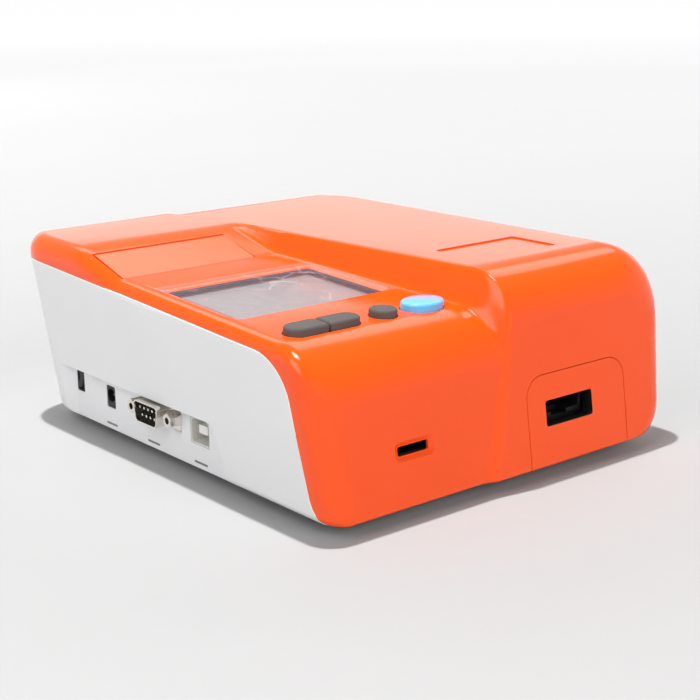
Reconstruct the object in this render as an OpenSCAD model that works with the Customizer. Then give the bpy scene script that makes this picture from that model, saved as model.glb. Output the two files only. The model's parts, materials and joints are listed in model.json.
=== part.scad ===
// Bench-top fluorescence analyzer for hormone test cartridges.
// Front is at -Y, +Z is up, and the table is at z = 0 below the four feet.

/* [Case] */
// Width across the side walls at the seam
case_w = 170; // [165:1:190]
// How much further the right wall stands out than the left one
right_more = 2.3; // [0:0.1:4]
// Depth over the front and rear walls
case_d = 206; // [200:1:230]
// Height of the top face above the table
case_h = 76.5; // [74:0.5:84]
// Height of the rubber feet
foot_h = 5; // [3:0.5:8]
// Wall thickness of both shells
wall = 2.5; // [2:0.1:3]
// Inward draft of the side walls towards the floor, in degrees
side_draft = 4.6; // [2:0.1:6]
// Lean of the front wall, in degrees
front_lean = 7.5; // [4:0.5:9]
// Lean of the rear wall, in degrees
rear_lean = 8.2; // [4:0.2:10]
// Plan radius of the two front corners
front_corner_r = 10; // [8:1:14]
// Plan radius of the rear left corner
rear_left_r = 22; // [12:1:22]
// Plan radius of the rear right corner
rear_right_r = 34; // [16:1:36]
// Radius of the edge along the right side of the top
right_top_r = 19; // [12:1:21]
// Radius of the edge along the right side of the bottom
right_bottom_r = 12; // [4:1:14]
// Radius of the edge along the left side of the bottom
left_bottom_r = 3; // [2:0.5:5]
// Radius of the edge along the left side of the deck, at the front
deck_edge_r = 5; // [3:0.5:7]
// Radius between the deck and the front wall
deck_front_r = 19; // [14:1:20]
// Radius between the raised top and the front wall
top_front_r = 17; // [14:1:20]
// Radius between the raised top and the rear wall
rear_top_r = 17; // [8:1:20]
// Radius between the ramp's end and the rear wall
ramp_rear_r = 10; // [3:0.5:14]
// Radius of the front wall's lower edge
front_bottom_r = 2; // [1:0.5:4]
// Radius of the rear wall's lower edge
rear_bottom_r = 7; // [3:1:10]

/* [Deck and raised top] */
// Drop from the raised top to the deck at mid depth
deck_drop = 9.1; // [8.5:0.1:10.5]
// Slope of the deck, in degrees
deck_slope = 2.6; // [2:0.2:3]
// Distance from the rear wall at which the ramp to the top begins
ramp_back = 79; // [77:1:83]
// Slope of the ramp that carries the printer lid, in degrees
ramp_slope = 16.2; // [14:0.2:18]
// Distance from the left wall of the foot of the wall beside the deck
step_in = 75.8; // [75.6:0.1:78]
// Width of the blend from the deck to the raised top
step_w = 8; // [6:0.5:9]
// Turn of the wall beside the deck, seen from above, in degrees
step_turn = 4; // [2:0.5:5]
// How far the blend swings to the left down the front wall
step_sweep = 12; // [0:1:14]
// How far the right part of the front stands proud of the left part
front_step = 2; // [1:0.25:3]
// Drop from the deck to the seam between the shells at mid depth
seam_drop = 4.5; // [3.5:0.1:7.4]
// Depth of the upper shell's strip down the front
front_strip = 15; // [12:0.5:18]

/* [Display and keys] */
// Width of the display window
display_w = 65; // [60:1:66]
// Depth of the display window
display_d = 46; // [40:1:48]
// Distance from the left wall of the middle of the display
display_in = 41.5; // [41:0.5:42.5]
// Place along the deck of the middle of the display
display_y = -22; // [-24:0.5:-20]
// Depth of the display window below the deck
display_sink = 1.6; // [1:0.1:2.2]
// Distance of the row of keys behind the foot of the front wall
keys_in = 31.5; // [30:0.5:33]
// How far the keys stand above the deck
key_rise = 2.8; // [2:0.1:3.5]
// Travel of a key
key_travel = 1; // [0.6:0.1:1.2]
// Gap around a key in its hole
key_gap = 0.35; // [0.3:0.05:0.5]
// Length of the pair of grey keys
pill_l = 30.4; // [28:0.2:31]
// Width of the pair of grey keys
pill_d = 9.4; // [8:0.2:10]
// Diameter of the round key
round_d = 10; // [8:0.2:11]
// Length of the blue key
oval_l = 17.2; // [14:0.2:17.6]
// Width of the blue key
oval_d = 12.8; // [10:0.2:13]

/* [Cartridge bay] */
// Width of the window that the cartridge goes into
window_w = 24.2; // [23.8:0.1:26]
// Height of the window
window_h = 9.4; // [9.2:0.1:11]
// Distance from the right wall of the middle of the window
window_in = 55.9; // [54:0.5:57]
// Height of the middle of the window above the table
window_z = 24.5; // [24:0.25:26]
// Width of the cover panel around the window
cover_w = 51; // [48:1:54]
// Height of the top of the cover panel above the table
cover_top = 38.7; // [37:0.5:41]
// Radius of the cover panel's upper corners
cover_r = 8; // [5:0.5:10]
// Thickness of the cover panel
cover_t = 2.2; // [1.8:0.1:2.4]
// Length of the cartridge tray
tray_l = 80; // [74:1:84]
// Width of the cartridge that the tray takes
cartridge_w = 20.4; // [18:0.2:20.6]
// Distance that the tray slides out
tray_travel = 30; // [20:1:30]
// Diameter of the lead screw
screw_d = 4; // [3:0.5:5]

/* [Ports] */
// Distance of the serial port from the rear wall
serial_in = 97.5; // [96:0.5:99]
// Height of the serial port above the table
serial_z = 21; // [20.5:0.25:22]
// Pitch of the contacts along a row
pin_pitch = 2.77; // [2.7:0.01:2.8]
// Distance of the square data port from the rear wall
data_in = 124; // [123:0.5:125]
// Distance of the power jack from the rear wall
jack_in = 61.7; // [60:0.5:63]
// Distance of the power switch from the rear wall
switch_in = 38.2; // [38:0.2:39]
// Depth of the port recess's floor below the left wall at the seam
recess_in = 6.7; // [6.4:0.1:7.4]
// Top of the main board above the table
board_top = 14.1; // [13.5:0.1:14.5]

/* [Printer] */
// Width of the printer lid
lid_w = 60; // [56:1:61]
// Distance from the left wall of the middle of the lid
lid_in = 35; // [34:0.5:36]
// Length of the lid up the ramp
lid_l = 22.9; // [21:0.1:24]
// Thickness of the lid
lid_t = 2.2; // [1.8:0.1:2.6]
// Opening angle of the lid, in degrees
lid_open = 85; // [45:5:90]
// Diameter of the platen's rubber
platen_d = 8; // [6:0.2:8.4]
// Module of the printer's gears
gear_m = 0.5; // [0.45:0.05:0.55]

/* [Fits] */
// Running gap between pieces that move past each other
run = 0.3; // [0.2:0.05:0.4]
// Radial clearance of a shaft in its bore
shaft_gap = 0.08; // [0.04:0.01:0.1]
// Gap around a fitted panel or lid
panel_gap = 0.3; // [0.2:0.05:0.4]

/* [Hidden] */
$fn = 64;

EPS = 0.01;
FAR = 400;
orange = [1, 0.36, 0.2];
white = [0.88, 0.88, 0.88];
grey_key = [0.27, 0.25, 0.23];
black = [0.06, 0.06, 0.07];
metal = [0.74, 0.74, 0.72];
board_green = [0.1, 0.36, 0.2];

// Places of the main features, each from the wall that carries it
half_w = case_w / 2;
half_d = case_d / 2;
deck_h = case_h - deck_drop;
seam_h = deck_h - seam_drop;
ramp_y = half_d - ramp_back;
step_x = step_in - half_w;
display_x = display_in - half_w;
keys_y = keys_in - half_d;
window_x = half_w - window_in;
serial_y = half_d - serial_in;
data_y = half_d - data_in;
jack_y = half_d - jack_in;
switch_y = half_d - switch_in;
recess_x = recess_in - half_w;
lid_x = lid_in - half_w;

// Slopes and reference lines of the case
draft_ref = seam_h;
rear_ref = seam_h + 4;
deck_k = tan(deck_slope);
ramp_k = tan(ramp_slope);
ramp_z = deck_h + deck_k * ramp_y;
ramp_end = ramp_y + (case_h - ramp_z) / ramp_k;
crease = 2;
crest = 5;
step_fade = 40;

function inset(d, r) = d >= r ? 0 : r - sqrt(max(0, r * r - pow(r - max(d, 0), 2)));
function bend(u, b) = u <= -b ? 0 : u >= b ? u : pow(u + b, 2) / (4 * b);
function ease(u) = u <= 0 ? 0 : u >= 1 ? 1 : u * u * (3 - 2 * u);
function mix(a, b, t) = a + (b - a) * t;
function front_y(z) = -half_d + (z - foot_h) * tan(front_lean);
function rear_y(z) = half_d - (rear_ref - z) * tan(rear_lean);
function left_x(z) = -half_w * (1 - (draft_ref - z) * tan(side_draft) / (half_w));
function deck_z(y) = deck_h + deck_k * y + (ramp_k - deck_k) * bend(y - ramp_y, crease)
    - ramp_k * bend(y - ramp_end, crest);
function arc2(c, r, a0, a1, n) = [for (i = [0 : n]) let (a = mix(a0, a1, i / n))
    [c[0] + r * cos(a), c[1] + r * sin(a)]];

// Depth along the deck, from its front wall at 0 to its rear wall at case_d
deck_y0 = front_y(deck_h) + front_step;
deck_y1 = rear_y(deck_h);
function depth_of(y) = case_d * (y - deck_y0) / (deck_y1 - deck_y0);
function y_of(f) = mix(deck_y0, deck_y1, f / case_d);

// Foot of the wall beside the deck at the depth y
function step_at(y) = step_x - tan(step_turn) * y;

// Stations along the depth, close together where the ends are rounded
function stations(w, n) = concat(
    [for (i = [0 : n]) w + (deck_front_r - w + 1) * (1 - cos(90 * i / n))],
    [for (y = [-40, ramp_y - crease, ramp_y, ramp_y + crease, ramp_end - crest, ramp_end,
        ramp_end + crest]) depth_of(y)],
    [for (i = [0 : n]) case_d - w - (rear_right_r - w + 1) * (1 - cos(90 * (n - i) / n))]);

// One section across the case, w inside its outer face: a lower and an upper chain of equal length
function section(f, w, n) =
    let (
        df = f - w,
        dr = case_d - f - w,
        rear = function (r) inset(dr, max(r - w, 0.6)),
        fore = function (r) inset(df, max(r - w, 0.6)),
        xl = -half_w + w + max(fore(front_corner_r), rear(rear_left_r)),
        xr = half_w + right_more - w - max(fore(front_corner_r), rear(rear_right_r)),
        zb = foot_h + w + max(fore(front_bottom_r), rear(rear_bottom_r)),
        zd = deck_z(y_of(f)) - w - max(fore(deck_front_r), rear(ramp_rear_r)),
        zh = case_h - w - max(fore(top_front_r), rear(rear_top_r)),
        re = max(mix(deck_edge_r, 1.7 * deck_edge_r, f / case_d) - w, 0.6),
        rt = right_top_r - w,
        rl = max(left_bottom_r - w, 0.6),
        rb = right_bottom_r - w,
        sx = step_at(y_of(f)) + w,
        steps = [for (i = [0 : 2 * n]) i / (2 * n)]
    )
    [concat(arc2([xl + rl, zb + rl], rl, 180, 270, n),
            [for (u = steps) [sx - step_sweep + step_w * u, zb]],
            arc2([xr - rb, zb + rb], rb, 270, 360, n)),
     concat(arc2([xl + re, zd - re], re, 180, 90, n),
            [for (u = steps) [sx + step_w * u, zd + (zh - zd) * ease(u)]],
            arc2([xr - rt, zh - rt], rt, 90, 0, n))];

// Drafts the side walls, leans the end walls and brings the right part of the front forward
function on_case(p, f, foot_x) =
    let (
        k = 1 - (draft_ref - p[1]) * tan(side_draft) / (half_w),
        push = front_step * ease((p[0] - foot_x) / step_w) * pow(max(0, 1 - f / step_fade), 2),
        y = mix(front_y(p[1]) + front_step, rear_y(p[1]), f / case_d) - push
    )
    [p[0] * k, y, p[1]];

// The case as a solid, w inside its outer face
module case_form(w, n) {
    fs = stations(w, n);
    rings = [for (f = fs) section(f, w, n)];
    m = len(rings[0][0]);
    pts = [for (j = [0 : len(fs) - 1]) for (side = [0, 1]) for (p = rings[j][side])
        on_case(p, fs[j], step_at(y_of(fs[j])) - (1 - side) * step_sweep)];
    lower = function (j, i) j * 2 * m + i;
    upper = function (j, i) j * 2 * m + m + i;
    last = len(fs) - 1;
    skin = [for (j = [0 : last - 1]) for (i = [0 : m - 2]) each [
        [upper(j, i), upper(j + 1, i), upper(j + 1, i + 1)],
        [upper(j, i), upper(j + 1, i + 1), upper(j, i + 1)],
        [lower(j, i), lower(j + 1, i + 1), lower(j + 1, i)],
        [lower(j, i), lower(j, i + 1), lower(j + 1, i + 1)]]];
    sides = [for (j = [0 : last - 1]) each [
        [lower(j, 0), lower(j + 1, 0), upper(j + 1, 0)],
        [lower(j, 0), upper(j + 1, 0), upper(j, 0)],
        [upper(j, m - 1), upper(j + 1, m - 1), lower(j + 1, m - 1)],
        [upper(j, m - 1), lower(j + 1, m - 1), lower(j, m - 1)]]];
    ends = [for (i = [0 : m - 2]) each [
        [lower(0, i), upper(0, i), upper(0, i + 1)],
        [lower(0, i), upper(0, i + 1), lower(0, i + 1)],
        [upper(last, i), lower(last, i), lower(last, i + 1)],
        [upper(last, i), lower(last, i + 1), upper(last, i + 1)]]];
    polyhedron(points = pts, faces = concat(skin, sides, ends), convexity = 8);
}

module outer_form() { case_form(0, 8); }
module inner_form() { case_form(wall, 3); }

// Extrudes a profile drawn in the Y-Z plane across the case
module across(x0, x1) {
    translate([x0, 0, 0]) rotate([90, 0, 90]) linear_extrude(x1 - x0) children();
}

// Extrudes a profile drawn in the X-Z plane from y0 to y1
module along(y0, y1) {
    translate([0, y1, 0]) rotate([90, 0, 0]) linear_extrude(y1 - y0) children();
}

// A frame on the deck, with x across, y up the slope and z out of the face
module on_deck() {
    translate([0, 0, deck_h]) rotate([deck_slope, 0, 0]) children();
}

// A frame at the foot of the ramp
module on_ramp() {
    translate([0, ramp_y, ramp_z]) rotate([ramp_slope, 0, 0]) children();
}

// A frame on the right part of the front wall: z runs up the wall and y into the case
module on_front() {
    translate([0, -half_d, foot_h]) rotate([-front_lean, 0, 0]) children();
}

module box(lo, hi) {
    translate(lo) cube([hi[0] - lo[0], hi[1] - lo[1], hi[2] - lo[2]]);
}

module rounded(w, d, r) {
    square([w - 2 * r, d], center = true);
    square([w, d - 2 * r], center = true);
    for (x = [-1, 1]) for (y = [-1, 1]) translate([x * (w / 2 - r), y * (d / 2 - r)]) circle(r);
}

// Seam between the shells, seen from the side
seam_slope = 3;
seam_lean = 5.2;
seam_r = 18;
seam_foot_r = 10;
seam_line_y = -half_d + front_strip;
function seam_z(y) = seam_h + tan(seam_slope) * y;
function seam_back(z) = seam_line_y + (z - foot_h - seam_foot_r) * tan(seam_lean);
corner_z = seam_z(seam_back(seam_h));
corner_y = seam_back(corner_z);
corner_turn = 90 + seam_slope - seam_lean;
corner_cut = seam_r / tan((180 - (90 - seam_slope + seam_lean)) / 2);
seam_arc_c = [corner_y + cos(seam_slope) * corner_cut + sin(seam_slope) * seam_r,
    corner_z + sin(seam_slope) * corner_cut - cos(seam_slope) * seam_r];

module seam_profile() {
    foot_c = [seam_line_y - seam_foot_r, foot_h + seam_foot_r];
    polygon(concat(
        [[FAR, FAR], [FAR, seam_z(FAR)]],
        arc2(seam_arc_c, seam_r, 90 + seam_slope, 180 - seam_lean, 10),
        arc2(foot_c, seam_foot_r, 0, -90, 6),
        [[foot_c[0], -FAR], [-FAR, -FAR], [-FAR, FAR]]));
}

// Screws that hold the shells together
boss_r = 4.2;
boss_top = 40;
boss_places = [[11 - half_w, 46 - half_d], [half_w - 21, 33 - half_d], [16 - half_w, half_d - 22],
    [half_w - 25, half_d - 25]];
screw_r = 1.5;
screw_head_r = 2.8;
screw_head_t = 2.2;
screw_grip = 14;
screw_bite = 12;
bore_slack = 0.05;

// Feet and boards
foot_r = 6;
foot_seat = 0.8;
foot_places = [[21 - half_w, 19 - half_d], [half_w - 23, 19 - half_d], [23 - half_w, half_d - 31],
    [half_w - 25, half_d - 37]];
floor_z = foot_h + wall;
board_t = 1.6;
board_lo = [9.7 - half_w, half_d - 153];
board_hi = [77 - half_w, half_d - 33];
chips = [[30.3, 40, 20, 20], [45.3, 75, 14, 10], [27.3, 80, 10, 16], [50.3, 20, 12, 7]];
capacitors = [[35.3, 98], [35.3, 110]];
chip_t = 2;
standoffs = [for (y = [board_lo[1] + 6, board_hi[1] - 16]) for (x = [board_lo[0] + 9.3, board_hi[0] - 6])
    [x, y]];
standoff_r = 3;
board_screw_r = 0.95;

// Display, measured down from the deck
bezel = 2;
lip = 0.4;
glass_t = 1.5;
glass_rim = 1.5;
glass_fit = 0.15;
lcd_t = 2.6;
lcd_rim = 1;
ring_w = 1.1;
skin = 0.03;
glass_low = -display_sink - glass_t;
lcd_top = glass_low - run;
lcd_low = lcd_top - lcd_t;
ring_in = glass_rim + glass_fit;
ring_out = ring_in + ring_w;
display_board_d = display_d + 14;
display_pillar = [30, display_d / 2 + 5, 1.6];

// Cartridge path
cover_x = window_x + 4.4;
seat_t = 3;
seat_rim = 3;
tunnel_gap = 0.5;
tray_gap = 0.8;
tray_w = window_w - 2 * tray_gap;
tray_h = window_h - 2 * tray_gap;
tray_z = window_z - tray_h / 2;
tray_floor = 1.8;
tray_front = front_y(window_z) + cover_t + seat_t;
cartridge_l = 62;
guide_wall = 2;
guide_floor = 2.5;
guide_x = tray_w / 2 + run;
guide_top = window_z + window_h / 2 + 1;
guide_z = tray_z - run - guide_floor;
guide_y0 = tray_front + 2;
guide_y1 = tray_front + tray_l + 7;
guide_open_y = tray_front + 32;
bearing_l = 5;
nut_l = 8;
nut_half = 3.8;
nut_y = tray_front + tray_l - nut_l - 6;
screw_x = window_x + tray_w / 2 + 7;
screw_z = window_z;
screw_front = guide_open_y - 3;
motor_y = tray_front + tray_l + 26;
motor_r = 10;
motor_l = 18;
plate_t = 2.5;

// Optics above the tray
head_lo = [window_x - 15, 19 - half_d, guide_top];
head_hi = [window_x + 15, 39 - half_d, case_h - 20.5];
beam_r = 4;
beam_y = (head_lo[1] + head_hi[1]) / 2;
lamp_l = 26;

// Chip slot on the left part of the front
chip_x = 41.1 - half_w;
chip_z = 24.9;
chip_w = 13.7;
chip_h = 3.4;
dish_grow = 2.4;
dish_depth = 1.1;

// Plain shallow rectangle on the raised top
panel_at = [half_w - 50.5, 46.5 - half_d];
panel_w = 41;
panel_d = 23;
panel_sink = 0.5;

// Recess and ports on the left side
recess_t = 2.5;
recess_back = recess_x + recess_t;
recess_rear = half_d - 35.2;
recess_front = half_d - 143;
recess_run_out = 2;
recess_top = 26;
port_gap = 0.15;
serial_w = 17;
serial_h = 8.4;
flange_w = 28.4;
flange_h = 9.8;
flange_t = 0.8;
shroud_x = recess_x - 6.5;
pin_tip_x = shroud_x + 1.3;
row_pitch = 2.84;
jackscrew_at = 12.5;
jack_w = 6.2;
jack_h = 8.7;
jack_z = 18.3;
data_w = 12;
data_h = 11;
data_z = board_top + data_h / 2;
switch_z = 20.5;
switch_w = 5.4;
switch_h = 9.6;
rocker_x = recess_x + 2.8;
rocker_turn = 14;
rocker_pin_r = 0.8;

// Printer, in the ramp's frame
hinge_r = 1.8;
pin_r = 0.8;
ear_w = 2.2;
hinge_u = lid_l - hinge_r;
hinge_v = -hinge_r;
platen_u = 6.5;
platen_v = -7.5;
platen_shaft_r = 1.5;
gear_n = 18;
pinion_n = 12;
idler_v = platen_v - gear_m * gear_n;
pinion_v = idler_v - gear_m * (gear_n + pinion_n) / 2;
lid_left = lid_x - lid_w / 2;
lid_right = lid_x + lid_w / 2;
pin_x0 = lid_left - panel_gap - ear_w + 0.5;
pin_x1 = lid_right + panel_gap + ear_w - 0.2;
arm_t = 1.5;
arm_r = 3;
arm_xs = [lid_left + 0.6, lid_right - 0.9 - arm_t];
gear_x = lid_left + 2.8;
gear_w = 3;
cheek_t = 1.5;
cheek_xs = [gear_x + gear_w + 0.5, arm_xs[1] - 0.8 - cheek_t];
bay_x0 = cheek_xs[0] + cheek_t;
bay_x1 = cheek_xs[1];
idler_axle_r = 1.2;
pinion_shaft_r = 0.75;
printer_motor_r = 6;
printer_motor_l = 16;
roll_r = 12.5;
roll_u = 26;
roll_v = -17.5;
trough_t = 1.6;

// Keys
pill_x = display_x - 17.7;
pill_split = 0.6;
round_x = display_x + 9;
oval_x = display_x + 27;
key_flange = 1.1;
key_skirt = 1.2;
flange_z = -wall - run - key_flange;
cap_insets = [0, 0.15, 0.5, 1];
cap_heights = [key_rise - 1, key_rise - 0.5, key_rise - 0.15, key_rise];
half_l = (pill_l - pill_split) / 2;
half_mid = (half_l + pill_split) / 2;
tact_h = 3.6;
tact_top = flange_z - key_travel - 0.1;
keypad_z = tact_top - tact_h;
keypad_lo = [display_x - 32.5, keys_y - 8.5];
keypad_hi = [display_x + 35.5, keys_y + 8.5];
keypad_posts = [for (side = [-1, 1]) each [[display_x + 0.75, 6.8 * side], [display_x + 16, 6.6 * side]]];
function circle_points(d, n) = [for (i = [0 : n - 1]) d / 2 * [cos(360 * i / n), sin(360 * i / n)]];
function half_pill(l, d, n) = concat(arc2([-l / 2 + d / 2, 0], d / 2, 90, 270, n),
    arc2([l / 2 - 0.8, -d / 2 + 0.8], 0.8, -90, 0, 2), arc2([l / 2 - 0.8, d / 2 - 0.8], 0.8, 0, 90, 2));
function ellipse(l, d, n) = [for (i = [0 : n - 1]) [l / 2 * cos(360 * i / n), d / 2 * sin(360 * i / n)]];

// Stacks equal outlines, each at its own height, into one solid
module stack(rings, heights) {
    n = len(rings[0]);
    k = len(rings) - 1;
    polyhedron(
        points = [for (j = [0 : k]) for (p = rings[j]) [p[0], p[1], heights[j]]],
        faces = concat([[for (i = [0 : n - 1]) i]], [[for (i = [0 : n - 1]) k * n + n - 1 - i]],
            [for (j = [0 : k - 1]) for (i = [0 : n - 1]) let (e = (i + 1) % n) each [
                [j * n + i, (j + 1) * n + i, (j + 1) * n + e], [j * n + i, (j + 1) * n + e, j * n + e]]]));
}

function rounded_points(w, d, r, n) = concat(
    arc2([w / 2 - r, d / 2 - r], r, 0, 90, n), arc2([-w / 2 + r, d / 2 - r], r, 90, 180, n),
    arc2([-w / 2 + r, -d / 2 + r], r, 180, 270, n), arc2([w / 2 - r, -d / 2 + r], r, 270, 360, n));

// Bars along X and Y, an upright post, and a bar across the ramp's frame
module bar_x(x0, x1, y, z, r) {
    translate([x0, y, z]) rotate([0, 90, 0]) cylinder(r = r, h = x1 - x0);
}

module bar_y(x, y0, y1, z, r) {
    translate([x, y1, z]) rotate([90, 0, 0]) cylinder(r = r, h = y1 - y0);
}

module post(x, y, z0, z1, r) {
    translate([x, y, z0]) cylinder(r = r, h = z1 - z0);
}

module ramp_bar(x0, x1, u, v, r) {
    on_ramp() bar_x(x0, x1, u, v, r);
}

// A profile drawn along and up the ramp, extruded across the case
module ramp_across(x0, x1) {
    on_ramp() across(x0, x1) children();
}

// A profile drawn on the right part of the front wall, from y0 to y1 inwards
module into_front(y0, y1) {
    on_front() along(y0, y1) children();
}

// A profile drawn with the depth to its left and the height up, seen from the left side
module from_left(x0, x1, y, z) {
    translate([0, y, z]) across(x0, x1) mirror([1, 0]) children();
}

module lower_edge_of_front() {
    polygon(concat([[FAR, foot_h], [FAR, FAR], [-FAR, FAR], [-FAR, foot_h + front_bottom_r]],
        arc2([front_y(foot_h) + front_bottom_r, foot_h + front_bottom_r], front_bottom_r, 180, 270, 6)));
}

// Openings in the upper shell
module display_opening() {
    over = 1;
    slope = bezel / (display_sink - lip);
    low = rounded_points(display_w, display_d, 2, 5);
    grow = 2 * (bezel + over * slope);
    top = rounded_points(display_w + grow, display_d + grow, 3, 5);
    on_deck() translate([display_x, display_y, 0]) {
        stack([low, low, top], [-wall - over, lip - display_sink, over]);
        translate([0, 0, -wall - over]) linear_extrude(wall + over - display_sink)
            rounded(display_w + 2 * ring_in, display_d + 2 * ring_in, 2);
    }
}

module oval_outline(g) {
    polygon(ellipse(oval_l + 2 * g, oval_d + 2 * g, 48));
}

module pill_outline(g) {
    rounded(pill_l + 2 * g, pill_d + 2 * g, pill_d / 2 + g - EPS);
}

module key_holes() {
    on_deck() translate([0, keys_y, -wall - 1]) linear_extrude(wall + 2) {
        translate([pill_x, 0]) pill_outline(key_gap);
        translate([round_x, 0]) circle(round_d / 2 + key_gap);
        translate([oval_x, 0]) oval_outline(key_gap);
    }
}

// Flattens the inside of the deck around the keys
module key_relief() {
    on_deck() box([keypad_lo[0] - 2, keypad_lo[1] - 0.5, -wall - 8],
        [keypad_hi[0] + 1.8, keypad_hi[1] + 0.5, -wall]);
}

module lid_opening() {
    ramp_across(lid_left - panel_gap, lid_right + panel_gap)
        translate([-panel_gap, -2 * wall]) square([lid_l + 2 * panel_gap, 4 * wall]);
}

// The cover panel's outline grown by g, its lower end at z0
module cover_outline(g, z0) {
    h = (cover_top - foot_h) / cos(front_lean);
    w = cover_w / 2;
    for (side = [-1, 1]) translate([cover_x + side * (w - cover_r), h - cover_r]) circle(cover_r + g);
    translate([cover_x - w + cover_r, z0]) square([cover_w - 2 * cover_r, h + g - z0]);
    translate([cover_x - w - g, z0]) square([cover_w + 2 * g, h - cover_r - z0]);
}

module window_hole(g, y1) {
    along(-case_d, y1) translate([window_x, window_z]) rounded(window_w + 2 * g, window_h + 2 * g, 1 + g);
}

module on_left_front() {
    translate([0, front_step, 0]) on_front()
        translate([chip_x, 0, (chip_z - foot_h) / cos(front_lean)]) rotate([90, 0, 0]) children();
}

module chip_cut() {
    low = rounded_points(chip_w + 0.6, chip_h + 0.6, 0.9, 4);
    top = rounded_points(chip_w + 2 * dish_grow, chip_h + 2 * dish_grow, 2.6, 4);
    on_left_front() {
        translate([0, 0, -2 * wall]) linear_extrude(4 * wall) rounded(chip_w, chip_h, 0.8);
        stack([low, top], [-dish_depth, 0.5]);
    }
}

module hinge_ears() {
    for (x = [lid_left - panel_gap - ear_w, lid_right + panel_gap])
        ramp_across(x, x + ear_w) translate([hinge_u - 2.6, -6]) square([5.2, 6.6 - wall]);
}

function ceiling(x, y) = x > step_at(y) + step_w ? case_h : deck_z(y);

module upper_shell() color(orange) difference() {
    union() {
        difference() {
            intersection() {
                outer_form();
                across(-FAR, FAR) seam_profile();
            }
            inner_form();
            key_relief();
        }
        into_front(cover_t, cover_t + seat_t) cover_outline(seat_rim, 1.5);
        hinge_ears();
        for (p = boss_places) post(p[0], p[1], boss_top, ceiling(p[0], p[1]) - 1, boss_r);
        on_deck() {
            for (p = keypad_posts) post(p[0], keys_y + p[1], keypad_z, 0.8 - wall, 1.8);
            for (x = [-1, 1]) for (y = [-1, 1]) post(display_x + x * display_pillar[0],
                display_y + y * display_pillar[1], lcd_low, 0.8 - wall, display_pillar[2]);
        }
    }
    display_opening();
    key_holes();
    lid_opening();
    into_front(-5, cover_t) cover_outline(panel_gap, -10);
    window_hole(tunnel_gap, front_y(foot_h) + 20);
    chip_cut();
    translate([panel_at[0], panel_at[1], case_h - panel_sink]) linear_extrude(5)
        rounded(panel_w, panel_d, 1);
    ramp_bar(pin_x0 - 0.1, pin_x1 + 5, hinge_u, hinge_v, pin_r + 0.02);
    for (p = boss_places) post(p[0], p[1], boss_top - 1, boss_top + screw_bite, screw_r + bore_slack);
}

// The recess around the ports, seen from the left side
module recess_profile() {
    polygon(concat([[recess_rear, -1], [recess_rear, recess_top]],
        arc2([recess_front + 9, recess_top - 5], 5, 90, 135, 3),
        [[recess_front + 3, 19], [recess_front + 1.2, 13.5], [recess_front, 8], [recess_front - 1, -1]]));
}

// The recess's rear wall runs out to the side wall at a slant
module recess_run() {
    reach = 10;
    linear_extrude(recess_top) translate([recess_x, recess_rear])
        polygon([[0, -1], [0, 0], [-reach, reach * recess_run_out], [-reach, -1]]);
}

module port_holes() {
    x0 = recess_x - 1;
    x1 = recess_back + 1;
    g = 2 * port_gap;
    from_left(x0, x1, serial_y, serial_z) square([flange_w + g, flange_h + g], center = true);
    from_left(x0, x1, data_y, data_z) square([data_w + g, data_h + g], center = true);
    from_left(x0, x1, jack_y, jack_z) rounded(jack_w + g, jack_h + g, 0.8);
    from_left(x0, x1, switch_y, switch_z) square([switch_w + g, switch_h + g], center = true);
}

module lower_shell() color(white) difference() {
    union() {
        difference() {
            outer_form();
            inner_form();
            across(-FAR, FAR) seam_profile();
        }
        box([recess_x - 1, recess_front - 4, foot_h + 1], [recess_back, recess_rear + 7, recess_top + 4]);
        for (p = boss_places) post(p[0], p[1], foot_h + 1, boss_top, boss_r);
        for (p = standoffs) post(p[0], p[1], foot_h + 1, board_top - board_t, standoff_r);
    }
    across(-FAR, recess_x) recess_profile();
    recess_run();
    port_holes();
    for (p = boss_places) {
        post(p[0], p[1], -1, boss_top + 1, screw_r + bore_slack);
        post(p[0], p[1], -1, boss_top - screw_grip, screw_head_r + 0.3);
    }
    for (p = standoffs) post(p[0], p[1], foot_h + 2, board_top, board_screw_r + bore_slack);
    for (p = foot_places) post(p[0], p[1], -1, foot_h + foot_seat, foot_r + 0.1);
}

module cartridge_cover() color(orange) difference() {
    intersection() {
        into_front(0, cover_t) cover_outline(0, -2);
        across(0, FAR) lower_edge_of_front();
    }
    window_hole(0, front_y(foot_h) + 20);
}

module printer_lid() color(orange) difference() {
    union() {
        ramp_across(lid_left, lid_right) translate([0, -lid_t]) square([hinge_u, lid_t]);
        ramp_bar(lid_left, lid_right, hinge_u, hinge_v, hinge_r);
        for (x = arm_xs) {
            ramp_across(x, x + arm_t) translate([platen_u - arm_r, platen_v])
                square([2 * arm_r, -platen_v - lid_t + 0.3]);
            ramp_bar(x, x + arm_t, platen_u, platen_v, arm_r);
        }
    }
    ramp_bar(lid_left - 1, lid_right + 1, hinge_u, hinge_v, pin_r + shaft_gap);
    ramp_bar(lid_left - 1, lid_right + 1, platen_u, platen_v, platen_shaft_r + shaft_gap);
}

module lid_pin() color(metal) ramp_bar(pin_x0, pin_x1, hinge_u, hinge_v, pin_r);

// A plate under the display, grown by g beyond it
module display_plate(z0, z1, g, r) {
    on_deck() translate([display_x, display_y, z0]) linear_extrude(z1 - z0)
        rounded(display_w + 2 * g, display_d + 2 * g, r);
}

module display_window() color([0.75, 0.78, 0.8, 0.4]) display_plate(glass_low, -display_sink, glass_rim, 2);

module lcd_panel() color([0.62, 0.66, 0.66]) display_plate(lcd_low, lcd_top, lcd_rim, 0.5);

module lcd_frame() color(black) difference() {
    display_plate(lcd_low, -wall - skin, ring_out, 2.5);
    difference() {
        display_plate(lcd_low - 1, 1, ring_in, 2);
        display_plate(lcd_top, glass_low, ring_in + 0.5, 2);
    }
    display_plate(lcd_top, glass_low, lcd_rim - 1, 0.5);
}

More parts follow.
